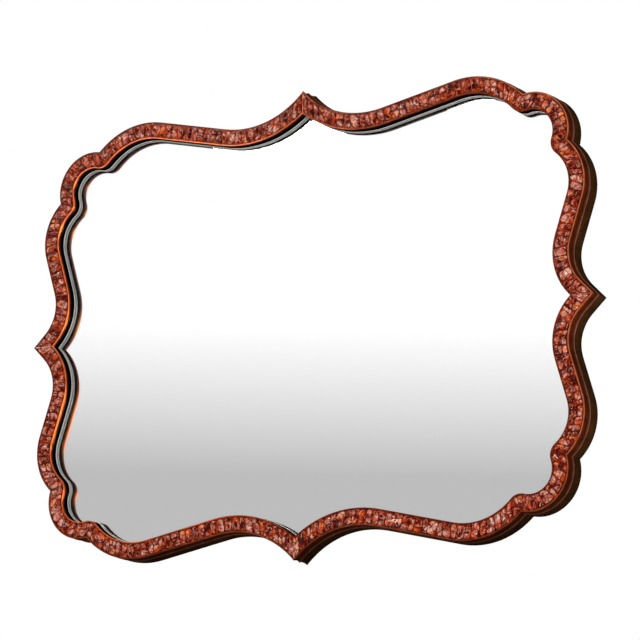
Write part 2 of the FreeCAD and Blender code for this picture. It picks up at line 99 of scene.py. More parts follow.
def start_material(name):
    """A material with an empty tree, and the object coordinates that its pattern reads."""
    material = bpy.data.materials.new(name)
    material.use_nodes = True
    tree = material.node_tree
    tree.nodes.clear()
    place = add_node(tree, "ShaderNodeTexCoord").outputs["Object"]
    return material, tree, place


def end_material(tree, inputs):
    """Ends a material's tree with the shader that its patterns feed."""
    shader = add_node(tree, "ShaderNodeBsdfPrincipled", inputs)
    add_node(tree, "ShaderNodeOutputMaterial", {"Surface": shader.outputs[0]})


def dress(material, names):
    """Gives CAD nodes a material in all their slots."""
    for name in names:
        for slot in nodes[name].material_slots:
            slot.material = material


def raw_wood(name, light, dark, figure, pore):
    """Sawn wood, unfinished: long grain, darker late wood and fine pores, with no gloss.

    The figure and the pores are as wide as given, in millimetres, and eight times as long.
    """
    grain_share = 0.12
    material, tree, place = start_material(name)
    along = add_node(tree, "ShaderNodeMapping", {"Vector": place, "Scale": (grain_share, 1, 1)})
    grain = add_node(tree, "ShaderNodeTexNoise", {
        "Vector": along.outputs[0], "Scale": per(figure), "Detail": 5, "Distortion": 0.6})
    pores = add_node(tree, "ShaderNodeTexNoise", {
        "Vector": along.outputs[0], "Scale": per(pore), "Detail": 3})
    colour = add_node(tree, "ShaderNodeValToRGB", {"Fac": grain.outputs["Fac"]},
                      stops=[(0.34, dark), (0.5, light), (0.68, dark)])
    speck = add_node(tree, "ShaderNodeMapRange", {
        "Value": pores.outputs["Fac"], "From Min": 0.3, "From Max": 0.55,
        "To Min": 0.72, "To Max": 1})
    toned = add_node(tree, "ShaderNodeHueSaturation", {
        "Color": colour.outputs[0], "Value": speck.outputs[0]})
    bump = add_node(tree, "ShaderNodeBump", {
        "Height": pores.outputs["Fac"], "Strength": 0.3, "Distance": 0.2 * millimetre})
    end_material(tree, {
        "Base Color": toned.outputs[0], "Roughness": 0.8, "Normal": bump.outputs[0]})
    return material


poplar = raw_wood("raw_poplar", light="#D2B78E", dark="#A98757", figure=9, pore=1.2)
beech = raw_wood("beech_tongue", light="#D8A97C", dark="#B98455", figure=7, pore=1.0)
dress(poplar, ["core_" + quarter for quarter in quarters])
dress(beech, ["joint_tongue_" + peak for peak in peaks])


# Outer strip: copper sheet drawn with a thin bead, bent round the core and glued. Its wall
# is chemically browned, and the lip that stands round the mosaic is rubbed back in places; the lip
# also carries a painted highlight at the right and low down, and painted shade at the top and left.

# Dark stain on the lips, which is also painted shade on the side away from the painted highlight.
lip_stain_and_shade = "#3E1006"
lip_foot = -39.8 * millimetre


def band_of_levels(tree, place, levels, waver, waver_size):
    """Colour by distance behind the lip, in millimetres, with an edge that wavers a little."""
    first = levels[0][0]
    last = levels[-1][0]
    height = add_node(tree, "ShaderNodeSeparateXYZ", {"Vector": place}).outputs["Y"]
    noise = add_node(tree, "ShaderNodeTexNoise", {
        "Vector": place, "Scale": per(waver_size), "Detail": 3})
    shift = add_node(tree, "ShaderNodeMapRange", {
        "Value": noise.outputs["Fac"], "To Min": -waver * millimetre, "To Max": waver * millimetre})
    moved = add_node(tree, "ShaderNodeMath", {0: height, 1: shift.outputs[0]}, operation="ADD")
    share = add_node(tree, "ShaderNodeMapRange", {
        "Value": moved.outputs[0], "From Min": first * millimetre, "From Max": last * millimetre})
    stops = [((level - first) / (last - first), code) for level, code in levels]
    return add_node(tree, "ShaderNodeValToRGB", {"Fac": share.outputs[0]}, stops=stops)


def stained_and_lit_lip(tree, place, colour, lean, bare_and_lit_from, bare_and_lit_to):
    """Lays a stain on the lip, save where it is bare. The bare parts drift at random as wear and
    lean one way as a painted highlight; on the far side the stain is also painted shade.
    """
    drift_size = 110
    sweep = add_node(tree, "ShaderNodeTexNoise", {
        "Vector": place, "Scale": per(drift_size), "Detail": 2})
    # Painted light: towards the side that lean points to, the lip is bared and so brighter.
    side = add_node(tree, "ShaderNodeVectorMath", {0: place, 1: lean}, operation="DOT_PRODUCT")
    bare_and_lit = add_node(tree, "ShaderNodeMath", {0: sweep.outputs["Fac"], 1: side.outputs["Value"]})
    kept = add_node(tree, "ShaderNodeMapRange", {
        "Value": bare_and_lit.outputs[0], "From Min": bare_and_lit_from, "From Max": bare_and_lit_to,
        "To Min": 0.85, "To Max": 0.0})
    level = add_node(tree, "ShaderNodeSeparateXYZ", {"Vector": place}).outputs["Y"]
    lip = add_node(tree, "ShaderNodeMath", {0: level, 1: lip_foot}, operation="LESS_THAN")
    cover = add_node(tree, "ShaderNodeMath", {
        0: lip.outputs[0], 1: kept.outputs[0]}, operation="MULTIPLY")
    return add_node(tree, "ShaderNodeMix", {
        "Factor": cover.outputs[0], 6: colour, 7: to_linear(lip_stain_and_shade)},
        data_type="RGBA").outputs[2]


def browned_copper():
    """Brown patina on copper: mottled, redder at the lip, lighter on the bead as a painted
    highlight, darkest low down as painted shade.
    """
    # Painted shade: the wall darkens towards the bottom of the frame.
    low_shade_foot = -360 * millimetre
    low_shade_top = -200 * millimetre
    material, tree, place = start_material("browned_copper")
    colour = band_of_levels(tree, place, [
        (-42.2, "#BA7250"), (-41.9, "#8E4A2E"), (-41.5, "#642410"), (-39.6, "#6E2C12"),
        (-36.0, "#5E280E"), (-30.0, "#4C1C0A"), (-25.4, "#643422"),
        # The lighter colour on the bead is a painted highlight.
        (-24.0, "#90685A"), (-22.4, "#4A2A16"),
        (-14.0, "#482A14"), (-4.0, "#3A2412"), (0.0, "#28190E")], waver=0.2, waver_size=12)
    mottle = add_node(tree, "ShaderNodeTexNoise", {
        "Vector": place, "Scale": per(16), "Detail": 6, "Roughness": 0.65})
    depth = add_node(tree, "ShaderNodeMapRange", {
        "Value": mottle.outputs["Fac"], "From Min": 0.32, "From Max": 0.68,
        "To Min": 0.48, "To Max": 1.08})
    upright = add_node(tree, "ShaderNodeSeparateXYZ", {"Vector": place}).outputs["Z"]
    painted_low_shade = add_node(tree, "ShaderNodeMapRange", {
        "Value": upright, "From Min": low_shade_foot, "From Max": low_shade_top,
        "To Min": 0.26, "To Max": 1.0})
    shade = add_node(tree, "ShaderNodeMath", {
        0: depth.outputs[0], 1: painted_low_shade.outputs[0]}, operation="MULTIPLY")
    toned = add_node(tree, "ShaderNodeHueSaturation", {
        "Color": colour.outputs[0], "Value": shade.outputs[0]})
    # Painted highlight on the lip at the right and low down, painted shade at the top and left.
    worn_and_lit = stained_and_lit_lip(
        tree, place, toned.outputs[0], lean=(0.5, 0, -0.6), bare_and_lit_from=0.3, bare_and_lit_to=0.55)
    grit = add_node(tree, "ShaderNodeTexNoise", {"Vector": place, "Scale": per(1.6), "Detail": 3})
    rough = add_node(tree, "ShaderNodeMapRange", {
        "Value": mottle.outputs["Fac"], "To Min": 0.34, "To Max": 0.52})
    bump = add_node(tree, "ShaderNodeBump", {
        "Height": grit.outputs["Fac"], "Strength": 0.25, "Distance": 0.15 * millimetre})
    end_material(tree, {
        "Base Color": worn_and_lit, "Metallic": 0.15, "Roughness": rough.outputs[0],
        "Specular IOR Level": 0.0, "Specular Tint": to_linear("#A06040"),
        "Normal": bump.outputs[0]})
    return material


dress(browned_copper(), ["outer_strip_" + quarter for quarter in quarters])


# Inner strip: the same copper sheet, folded to a lip and glued inside the opening. The lip
# is rubbed bright in places and carries a painted highlight at the left and top. The wall darkens
# towards the glass, almost black at its foot, as painted reflection and shade.

def copper_with_painted_shade():
    """Copper that darkens away from its lip: orange at the lip, then olive, then black, as painted
    reflection and shade down into the opening.
    """
    material, tree, place = start_material("copper_with_painted_shade")
    # Painted reflection and shade: bright at the lip, black towards the glass.
    colour = band_of_levels(tree, place, [
        (-42.2, "#CC7450"), (-41.8, "#C4602E"), (-41.2, "#A84A18"), (-39.8, "#8A4420"),
        (-38.2, "#4A3020"), (-36.0, "#261C14"), (-32.0, "#100C08"), (-26.0, "#070604")],
        waver=0.4, waver_size=10)
    mottle = add_node(tree, "ShaderNodeTexNoise", {
        "Vector": place, "Scale": per(9), "Detail": 5, "Roughness": 0.6})
    depth = add_node(tree, "ShaderNodeMapRange", {
        "Value": mottle.outputs["Fac"], "From Min": 0.3, "From Max": 0.7,
        "To Min": 0.75, "To Max": 1.2})
    toned = add_node(tree, "ShaderNodeHueSaturation", {
        "Color": colour.outputs[0], "Value": depth.outputs[0]})
    # Painted highlight on the lip at the left and top.
    worn_and_lit = stained_and_lit_lip(
        tree, place, toned.outputs[0], lean=(-0.9, 0, 0.2), bare_and_lit_from=0.45, bare_and_lit_to=0.75)
    bump = add_node(tree, "ShaderNodeBump", {
        "Height": mottle.outputs["Fac"], "Strength": 0.2, "Distance": 0.2 * millimetre})
    end_material(tree, {
        "Base Color": worn_and_lit, "Metallic": 1, "Roughness": 0.4,
        "Specular Tint": to_linear("#4A3020"), "Normal": bump.outputs[0]})
    return material


dress(copper_with_painted_shade(), ["inner_strip_" + quarter for quarter in quarters])


# Resin: a dark red casting resin that beds the chips and fills the cracks between them,
# poured between the two lips and a little lower than they are.

def poured_resin():
    """Dark red resin, glossy and faintly rippled, with a few brighter orange streaks of painted
    glow.
    """
    material, tree, place = start_material("poured_resin")
    cloud = add_node(tree, "ShaderNodeTexNoise", {
        "Vector": place, "Scale": per(6), "Detail": 4, "Distortion": 0.8})
    # The brighter orange stops are a painted glow in the resin between the chips.
    colour = add_node(tree, "ShaderNodeValToRGB", {"Fac": cloud.outputs["Fac"]}, stops=[
        (0.36, "#320301"), (0.5, "#601004"), (0.6, "#9C2C0A"), (0.7, "#D06A28")])
    ripple = add_node(tree, "ShaderNodeTexNoise", {"Vector": place, "Scale": per(2.5)})
    bump = add_node(tree, "ShaderNodeBump", {
        "Height": ripple.outputs["Fac"], "Strength": 0.6, "Distance": 0.4 * millimetre})
    end_material(tree, {
        "Base Color": colour.outputs[0], "Roughness": 0.22, "IOR": 1.5, "Specular IOR Level": 0.2,
        "Specular Tint": to_linear("#F0A080"), "Normal": bump.outputs[0]})
    return material


resin = poured_resin()
dress(resin, ["resin_bed_" + quarter for quarter in quarters])
dress(resin, ["resin_grout_" + quarter for quarter in quarters])


# Mosaic chips: broken plates of dyed resin, laid by hand with their edges knapped. Each
# chip's face is a little uneven and its colour its own, from mauve brown to amber, with painted
# glints, shade, glow and reflection over it.

def chip_form(node_name):
    """The chips of one quarter with whole faces in place of loose triangles."""
    weld_reach = 0.01 * millimetre
    flat_angle = math.radians(0.6)
    mesh = nodes[node_name].data.copy()
    shape = bmesh.new()
    shape.from_mesh(mesh)
    bmesh.ops.remove_doubles(shape, verts=shape.verts, dist=weld_reach)
    bmesh.ops.dissolve_limit(
        shape, angle_limit=flat_angle, verts=shape.verts, edges=shape.edges)
    shape.to_mesh(mesh)
    shape.free()
    return mesh


def knapping_tree(material):
    """Geometry nodes that pillow each chip, make its face uneven and give it a tone.

    The attribute knap_place is the position with each chip squeezed across the frame, so that
    a pattern read at it comes out drawn across the frame. The attribute chip_side is how far
    a point lies outward from its chip's middle. Outward is the steepest way of
    (x / half width)^6 + (z / half height)^6, which turns the corners as the frame does.
    """
    edge_crease = 0.62
    tree = bpy.data.node_groups.new("knapped_chips", "GeometryNodeTree")
    tree.interface.new_socket("Chips", in_out="INPUT", socket_type="NodeSocketGeometry")
    tree.interface.new_socket("Half size", in_out="INPUT", socket_type="NodeSocketVector")
    for title in ("Draw share", "Spread share", "Lump size", "Lump height",
                  "Grout level", "Top level"):
        tree.interface.new_socket(title, in_out="INPUT", socket_type="NodeSocketFloat")
    tree.interface.new_socket("Seed", in_out="INPUT", socket_type="NodeSocketInt")
    tree.interface.new_socket("Chips", in_out="OUTPUT", socket_type="NodeSocketGeometry")
    given = add_node(tree, "NodeGroupInput").outputs

    fine = add_node(tree, "GeometryNodeSubdivisionSurface", {
        "Mesh": given["Chips"], "Level": 1, "Edge Crease": edge_crease})
    position = add_node(tree, "GeometryNodeInputPosition").outputs[0]
    island = add_node(tree, "GeometryNodeInputMeshIsland").outputs["Island Index"]
    total = add_node(tree, "GeometryNodeAccumulateField", {
        "Value": position, "Group ID": island}, data_type="FLOAT_VECTOR").outputs["Total"]
    count = add_node(tree, "GeometryNodeAccumulateField", {
        "Value": 1.0, "Group ID": island}, data_type="FLOAT").outputs["Total"]
    one_over = add_node(tree, "ShaderNodeMath", {0: 1.0, 1: count}, operation="DIVIDE").outputs[0]
    middle = add_node(tree, "ShaderNodeVectorMath", {
        0: total, "Scale": one_over}, operation="SCALE").outputs[0]

    share = add_node(tree, "ShaderNodeVectorMath", {
        0: middle, 1: given["Half size"]}, operation="DIVIDE").outputs[0]
    square = add_node(tree, "ShaderNodeVectorMath", {
        0: share, 1: share}, operation="MULTIPLY").outputs[0]
    fourth = add_node(tree, "ShaderNodeVectorMath", {
        0: square, 1: square}, operation="MULTIPLY").outputs[0]
    fifth = add_node(tree, "ShaderNodeVectorMath", {
        0: fourth, 1: share}, operation="MULTIPLY").outputs[0]
    slope = add_node(tree, "ShaderNodeVectorMath", {
        0: fifth, 1: given["Half size"]}, operation="DIVIDE").outputs[0]
    outward = add_node(tree, "ShaderNodeVectorMath", {0: slope}, operation="NORMALIZE").outputs[0]
    local = add_node(tree, "ShaderNodeVectorMath", {
        0: position, 1: middle}, operation="SUBTRACT").outputs[0]
    along = add_node(tree, "ShaderNodeVectorMath", {
        0: local, 1: outward}, operation="DOT_PRODUCT").outputs["Value"]

    squeeze = add_node(tree, "ShaderNodeMath", {
        0: along, 1: given["Draw share"]}, operation="MULTIPLY").outputs[0]
    pull = add_node(tree, "ShaderNodeVectorMath", {
        0: outward, "Scale": squeeze}, operation="SCALE").outputs[0]
    knap_place = add_node(tree, "ShaderNodeVectorMath", {
        0: position, 1: pull}, operation="SUBTRACT").outputs[0]
    tone = add_node(tree, "FunctionNodeRandomValue", {"ID": island, "Seed": given["Seed"]})
    placed = add_node(tree, "GeometryNodeStoreNamedAttribute", {
        "Geometry": fine.outputs[0], "Name": "knap_place", "Value": knap_place},
        data_type="FLOAT_VECTOR")
    sided = add_node(tree, "GeometryNodeStoreNamedAttribute", {
        "Geometry": placed.outputs[0], "Name": "chip_side", "Value": along})
    toned = add_node(tree, "GeometryNodeStoreNamedAttribute", {
        "Geometry": sided.outputs[0], "Name": "chip_tone", "Value": tone.outputs[1]})

    density = add_node(tree, "ShaderNodeMath", {0: 1, 1: given["Lump size"]}, operation="DIVIDE")
    lumps = add_node(tree, "ShaderNodeTexNoise", {
        "Vector": knap_place, "Scale": density.outputs[0], "Detail": 2})
    centred = add_node(tree, "ShaderNodeVectorMath", {
        0: lumps.outputs["Color"], 1: (0.5, 0.5, 0.5)}, operation="SUBTRACT").outputs[0]
    lump = add_node(tree, "ShaderNodeVectorMath", {
        0: centred, "Scale": given["Lump height"]}, operation="SCALE").outputs[0]
    lumped = add_node(tree, "ShaderNodeVectorMath", {
        0: position, 1: lump}, operation="ADD").outputs[0]
    spread = add_node(tree, "ShaderNodeMath", {
        0: along, 1: given["Spread share"]}, operation="MULTIPLY").outputs[0]
    uneven = add_node(tree, "ShaderNodeMath", {
        0: spread, 1: lumps.outputs["Fac"]}, operation="MULTIPLY").outputs[0]
    leant = add_node(tree, "ShaderNodeVectorMath", {
        0: outward, "Scale": uneven}, operation="SCALE").outputs[0]
    moved = add_node(tree, "ShaderNodeVectorMath", {
        0: lumped, 1: leant}, operation="ADD").outputs[0]

    parts = add_node(tree, "ShaderNodeSeparateXYZ", {"Vector": moved}).outputs
    held = add_node(tree, "ShaderNodeMath", {
        0: parts["Y"], 1: given["Top level"]}, operation="MAXIMUM")
    lumpy = add_node(tree, "ShaderNodeCombineXYZ", {
        "X": parts["X"], "Y": held.outputs[0], "Z": parts["Z"]})
    level = add_node(tree, "ShaderNodeSeparateXYZ", {"Vector": position}).outputs["Y"]
    proud = add_node(tree, "FunctionNodeCompare", {"A": level, "B": given["Grout level"]},
                     data_type="FLOAT", operation="LESS_THAN")
    knapped = add_node(tree, "GeometryNodeSetPosition", {
        "Geometry": toned.outputs[0], "Selection": proud.outputs[0], "Position": lumpy.outputs[0]})
    smooth = add_node(tree, "GeometryNodeSetShadeSmooth", {
        "Geometry": knapped.outputs[0]}, domain="FACE")
    real = add_node(tree, "GeometryNodeRealizeInstances", {"Geometry": smooth.outputs[0]})
    dressed = add_node(tree, "GeometryNodeSetMaterial", {
        "Geometry": real.outputs[0], "Material": material})
    add_node(tree, "NodeGroupOutput", {"Chips": dressed.outputs[0]})
    return tree


def apply_nodes(piece, tree, values):
    """Runs a geometry tree on a piece, keeps the plain mesh and drops the modifier."""
    modifier = piece.modifiers.new(tree.name, "NODES")
    modifier.node_group = tree
    for socket in tree.interface.items_tree:
        if socket.in_out == "INPUT" and socket.name in values:
            modifier[socket.identifier] = values[socket.name]
    bpy.context.view_layer.update()
    result = piece.evaluated_get(bpy.context.evaluated_depsgraph_get())
    mesh = bpy.data.meshes.new_from_object(result)
    piece.modifiers.clear()
    piece.data = mesh


def knapped_facets(tree, place, size, tilt):
    """Flat facets, each tipped at random: gives their height and a random share for each."""
    cells = add_node(tree, "ShaderNodeTexVoronoi", {"Vector": place, "Scale": per(size)}).outputs
    away = add_node(tree, "ShaderNodeVectorMath", {
        0: place, 1: cells["Position"]}, operation="SUBTRACT")
    tip = add_node(tree, "ShaderNodeVectorMath", {
        0: cells["Color"], 1: (0.5, 0.5, 0.5)}, operation="SUBTRACT")
    slope = add_node(tree, "ShaderNodeVectorMath", {
        0: away.outputs[0], 1: tip.outputs[0]}, operation="DOT_PRODUCT")
    height = add_node(tree, "ShaderNodeMath", {
        0: slope.outputs["Value"], 1: tilt}, operation="MULTIPLY")
    share = add_node(tree, "ShaderNodeSeparateColor", {"Color": cells["Color"]})
    return height.outputs[0], share.outputs[0]


def curled_lines(tree, place, size, low, high):
    """Thin lines that curl and close on themselves: white on a line and black away from it."""
    noise = add_node(tree, "ShaderNodeTexNoise", {
        "Vector": place, "Scale": per(size), "Detail": 1, "Distortion": 1.2})
    return add_node(tree, "ShaderNodeValToRGB", {"Fac": noise.outputs["Fac"]}, stops=[
        (low, "#000000"), ((low + high) / 2, "#FFFFFF"), (high, "#000000")]).outputs[0]


def dyed_chips():
    """Dyed resin plate, knapped: dark red, mauve and amber facets with dark and pale curls. The
    mauve is partly a painted reflection of the pale room and the amber partly a painted glow; the
    dark curls are painted shade and the pale curls painted glints.

    The two leans, per metre outward from a chip's middle, make its inner side paler and more amber
    as painted highlight and glow, and its outer side darker as painted shade. Its sides and low
    edges take the rim's darker colours, painted shade between the chips.
    """
    facet_size = 15
    facet_tilt = 0.42
    curl_size = 15
    tone_lean = -10.0
    amber_lean = -8.0
    ripple_height = 1.4 * millimetre
    curl_height = 0.8 * millimetre
    face_level = -42.9 * millimetre
    rim_level = -41.5 * millimetre
    material, tree, place = start_material("dyed_resin_chips")
    tone = add_node(tree, "ShaderNodeAttribute", attribute_name="chip_tone").outputs["Fac"]
    side = add_node(tree, "ShaderNodeAttribute", attribute_name="chip_side").outputs["Fac"]
    drawn = add_node(tree, "ShaderNodeAttribute", attribute_name="knap_place").outputs["Vector"]
    bent = add_node(tree, "ShaderNodeTexNoise", {"Vector": drawn, "Scale": per(10), "Detail": 1})
    swirl = add_node(tree, "ShaderNodeVectorMath", {
        0: bent.outputs["Color"], "Scale": 5 * millimetre}, operation="SCALE")
    swirled = add_node(tree, "ShaderNodeVectorMath", {0: drawn, 1: swirl.outputs[0]})
    height, share = knapped_facets(tree, swirled.outputs[0], facet_size, facet_tilt)
    edges = add_node(tree, "ShaderNodeTexVoronoi", {
        "Vector": swirled.outputs[0], "Scale": per(facet_size)}, feature="DISTANCE_TO_EDGE")
    crack = add_node(tree, "ShaderNodeMapRange", {
        "Value": edges.outputs["Distance"], "From Min": 0.02, "From Max": 0.1,
        "To Min": 0.75, "To Max": 0.0})
    ripple = add_node(tree, "ShaderNodeTexNoise", {
        "Vector": drawn, "Scale": per(11), "Detail": 1.0, "Distortion": 1.0})
    spread = add_node(tree, "ShaderNodeMapRange", {
        "Value": ripple.outputs["Fac"], "From Min": 0.34, "From Max": 0.66, "To Max": 0.52})
    mixed = add_node(tree, "ShaderNodeMath", {0: share, 1: 0.38, 2: spread.outputs[0]},
                     operation="MULTIPLY_ADD")
    # Painted light and shade: each chip paler on its inner side and darker on its outer side.
    leaning = add_node(tree, "ShaderNodeMath", {0: side, 1: tone_lean, 2: mixed.outputs[0]},
                       operation="MULTIPLY_ADD")
    toned = add_node(tree, "ShaderNodeMath", {0: tone, 1: 0.1, 2: leaning.outputs[0]},
                     operation="MULTIPLY_ADD")
    # The mauve and pale stops are partly the resin's own colour and partly a painted reflection of
    # the pale room.
    body = add_node(tree, "ShaderNodeValToRGB", {"Fac": toned.outputs[0]}, stops=[
        (0.28, "#2C0200"), (0.38, "#681004"), (0.46, "#963020"), (0.54, "#A0503C"),
        (0.66, "#A46C5E"), (0.86, "#C8988A")])
    cloud = add_node(tree, "ShaderNodeTexNoise", {"Vector": place, "Scale": per(12), "Detail": 3})
    # Painted glow: russet patches that stand in for light shining through the resin.
    glow = add_node(tree, "ShaderNodeMapRange", {
        "Value": cloud.outputs["Fac"], "From Min": 0.53, "From Max": 0.62, "To Max": 0.7})
    russet = add_node(tree, "ShaderNodeMix", {
        "Factor": glow.outputs[0], 6: body.outputs[0], 7: to_linear("#B23A0E")}, data_type="RGBA")
    flame = add_node(tree, "ShaderNodeTexNoise", {"Vector": drawn, "Scale": per(11), "Detail": 2})
    # Painted glow: amber, stronger on each chip's inner side.
    fanned = add_node(tree, "ShaderNodeMath", {0: side, 1: amber_lean, 2: flame.outputs["Fac"]},
                      operation="MULTIPLY_ADD")
    painted_amber_glow = add_node(tree, "ShaderNodeMapRange", {
        "Value": fanned.outputs[0], "From Min": 0.57, "From Max": 0.65, "To Max": 0.85})
    amber = add_node(tree, "ShaderNodeMix", {
        "Factor": painted_amber_glow.outputs[0], 6: russet.outputs[2], 7: to_linear("#D2691E")}, data_type="RGBA")
    cracked = add_node(tree, "ShaderNodeMix", {
        "Factor": crack.outputs[0], 6: amber.outputs[2], 7: to_linear("#4A0600")}, data_type="RGBA")
    # Painted shade: dark curled lines that stand in for shadow in the hollows.
    painted_shade_lines = curled_lines(tree, drawn, curl_size, low=0.37, high=0.45)
    painted_hollow_shade = add_node(tree, "ShaderNodeMix", {
        "Factor": painted_shade_lines, 6: cracked.outputs[2], 7: to_linear("#340401")}, data_type="RGBA")
    # Painted glints: pale curled lines that stand in for highlights.
    painted_glint_lines = curled_lines(tree, drawn, curl_size, low=0.515, high=0.55)
    broken = add_node(tree, "ShaderNodeMapRange", {
        "Value": bent.outputs["Fac"], "From Min": 0.47, "From Max": 0.56})
    glint = add_node(tree, "ShaderNodeMath", {
        0: painted_glint_lines, 1: broken.outputs[0]}, operation="MULTIPLY")
    curled = add_node(tree, "ShaderNodeMix", {
        "Factor": glint.outputs[0], 6: painted_hollow_shade.outputs[2], 7: to_linear("#FACCBC")},
        data_type="RGBA")
    level = add_node(tree, "ShaderNodeSeparateXYZ", {"Vector": place}).outputs["Y"]
    rim = add_node(tree, "ShaderNodeMapRange", {
        "Value": level, "From Min": face_level, "From Max": rim_level})
    # Painted shade between the chips on their sides and low edges, with patches of painted glow.
    rim_shade_and_glow = add_node(tree, "ShaderNodeValToRGB", {"Fac": cloud.outputs["Fac"]}, stops=[
        (0.42, "#3C0400"), (0.5, "#761606"), (0.6, "#C8521C")])
    final = add_node(tree, "ShaderNodeMix", {
        "Factor": rim.outputs[0], 6: curled.outputs[2], 7: rim_shade_and_glow.outputs[0]}, data_type="RGBA")
    relief = add_node(tree, "ShaderNodeMath", {
        0: ripple.outputs["Fac"], 1: ripple_height, 2: height}, operation="MULTIPLY_ADD")
    ridged = add_node(tree, "ShaderNodeMath", {
        0: glint.outputs[0], 1: curl_height, 2: relief.outputs[0]}, operation="MULTIPLY_ADD")
    bump = add_node(tree, "ShaderNodeBump", {
        "Height": ridged.outputs[0], "Strength": 1.0, "Distance": 1.0})
    end_material(tree, {
        "Base Color": final.outputs[2], "Roughness": 0.14, "IOR": 1.5,
        "Specular IOR Level": 0.28, "Specular Tint": to_linear("#F4A890"),
        "Normal": bump.outputs[0]})
    return material


chip_material = dyed_chips()
knapping = knapping_tree(chip_material)
grout_level = -41.2 * millimetre
first_seed = 3
lump_size = 6.5 * millimetre
lump_height = 2.2 * millimetre
draw_share = 0.5
spread_share = 0.2
face_middle = (cad_box[0] + cad_box[1]) / 2
half_size = cad_box[1] - face_middle
for number, quarter in enumerate(quarters):
    node_name = "mosaic_chips_" + quarter
    chips = bpy.data.objects.new("knapped_chips_" + quarter, chip_form(node_name))
    bpy.context.scene.collection.objects.link(chips)
    apply_nodes(chips, knapping, {
        "Half size": half_size, "Draw share": draw_share, "Spread share": spread_share,
        "Lump size": lump_size, "Lump height": lump_height, "Grout level": grout_level,
        "Top level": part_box(node_name)[0].y, "Seed": first_seed + number})
    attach(chips, "mirror_frame")
    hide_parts(node_name)


# Solder strips: tinned brass strips let into the face where two quarters meet. Two of
# them are rubbed bright, the other two lie under a film of resin.

def tinned_brass(name, dark, light):
    """Solder over brass, part flooded by the resin: dull metal with red-brown stains."""
    material, tree, place = start_material(name)
    cloud = add_node(tree, "ShaderNodeTexNoise", {"Vector": place, "Scale": per(7), "Detail": 3})
    colour = add_node(tree, "ShaderNodeValToRGB", {"Fac": cloud.outputs["Fac"]}, stops=[
        (0.4, dark), (0.62, light)])
    end_material(tree, {"Base Color": colour.outputs[0], "Metallic": 0.7, "Roughness": 0.4})
    return material


rubbed = tinned_brass("rubbed_solder", dark="#8A4A34", light="#D0A090")
flooded = tinned_brass("flooded_solder", dark="#5A1608", light="#A05A40")
dress(rubbed, ["solder_strip_bottom", "solder_strip_left"])
dress(flooded, ["solder_strip_top", "solder_strip_right"])


# Glass pack: float glass, silvered and painted at the back, lies on a white foam tape and
# is held by a hardboard panel. The silver and the tape are drawn a hair off the glass.

contact_gap = 0.02 * millimetre
film_front = -20.4 * millimetre


def float_glass():
    """Clear float glass: no colour to speak of, polished on both faces."""
    material, tree, _ = start_material("float_glass")
    end_material(tree, {
        "Base Color": (1, 1, 1, 1), "Roughness": 0.0, "IOR": 1.52, "Transmission Weight": 1.0})
    return material


def silver_film():
    """Silver on the coat's front face, seen through the glass, and brown-grey paint behind."""
    material, tree, place = start_material("silver_film")
    level = add_node(tree, "ShaderNodeSeparateXYZ", {"Vector": place}).outputs["Y"]
    front = add_node(tree, "ShaderNodeMath", {0: level, 1: film_front}, operation="LESS_THAN")
    colour = add_node(tree, "ShaderNodeMix", {
        "Factor": front.outputs[0], 6: to_linear("#6B6258"), 7: to_linear("#FAFAFA")},
        data_type="RGBA")
    rough = add_node(tree, "ShaderNodeMapRange", {
        "Value": front.outputs[0], "To Min": 0.6, "To Max": 0.0})
    end_material(tree, {
        "Base Color": colour.outputs[2], "Metallic": front.outputs[0],
        "Roughness": rough.outputs[0]})
    return material


def foam_tape():
    """Closed-cell foam with an adhesive face: white, matt, its cells under a millimetre."""
    material, tree, place = start_material("foam_tape")
    cells = add_node(tree, "ShaderNodeTexVoronoi", {"Vector": place, "Scale": per(0.9)})
    colour = add_node(tree, "ShaderNodeValToRGB", {"Fac": cells.outputs["Distance"]}, stops=[
        (0.0, "#FBFAF6"), (0.8, "#ECEAE4")])
    end_material(tree, {"Base Color": colour.outputs[0], "Roughness": 0.85})
    return material


def hardboard():
    """Pressed wood fibre: brown, matt, flecked with fibres a few millimetres long."""
    material, tree, place = start_material("hardboard")
    fibres = add_node(tree, "ShaderNodeTexNoise", {
        "Vector": place, "Scale": per(3), "Detail": 6, "Roughness": 0.7, "Distortion": 1.5})
    cloud = add_node(tree, "ShaderNodeTexNoise", {"Vector": place, "Scale": per(120), "Detail": 2})
    colour = add_node(tree, "ShaderNodeValToRGB", {"Fac": fibres.outputs["Fac"]}, stops=[
        (0.3, "#5E4128"), (0.5, "#7C5A39"), (0.7, "#A07C52")])
    depth = add_node(tree, "ShaderNodeMapRange", {
        "Value": cloud.outputs["Fac"], "To Min": 0.85, "To Max": 1.15})
    toned = add_node(tree, "ShaderNodeHueSaturation", {
        "Color": colour.outputs[0], "Value": depth.outputs[0]})
    bump = add_node(tree, "ShaderNodeBump", {
        "Height": fibres.outputs["Fac"], "Strength": 0.4, "Distance": 0.2 * millimetre})
    end_material(tree, {
        "Base Color": toned.outputs[0], "Roughness": 0.72, "Normal": bump.outputs[0]})
    return material


def part_from_glass(piece_name, node_name, level, step, material):
    """A copy of a node whose face at a level is drawn a step away from the glass."""
    mesh = nodes[node_name].data.copy()
    for vertex in mesh.vertices:
        if abs(vertex.co.y - level) < contact_gap:
            vertex.co.y += step
    mesh.materials.clear()
    mesh.materials.append(material)
    piece = bpy.data.objects.new(piece_name, mesh)
    bpy.context.scene.collection.objects.link(piece)
    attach(piece, "mirror_frame")
    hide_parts(node_name)


dress(float_glass(), ["mirror_glass"])
dress(hardboard(), ["back_panel"])
glass_front, glass_back = (corner.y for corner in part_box("mirror_glass"))
part_from_glass("silver_film", "silver_coat", glass_back, contact_gap, silver_film())
part_from_glass("foam_tape", "glazing_tape", glass_front, -contact_gap, foam_tape())


# Back hardware: pressed steel braces and strap hangers, zinc plated; steel screws; and
# brass-plated turn buttons that swing over the back panel.

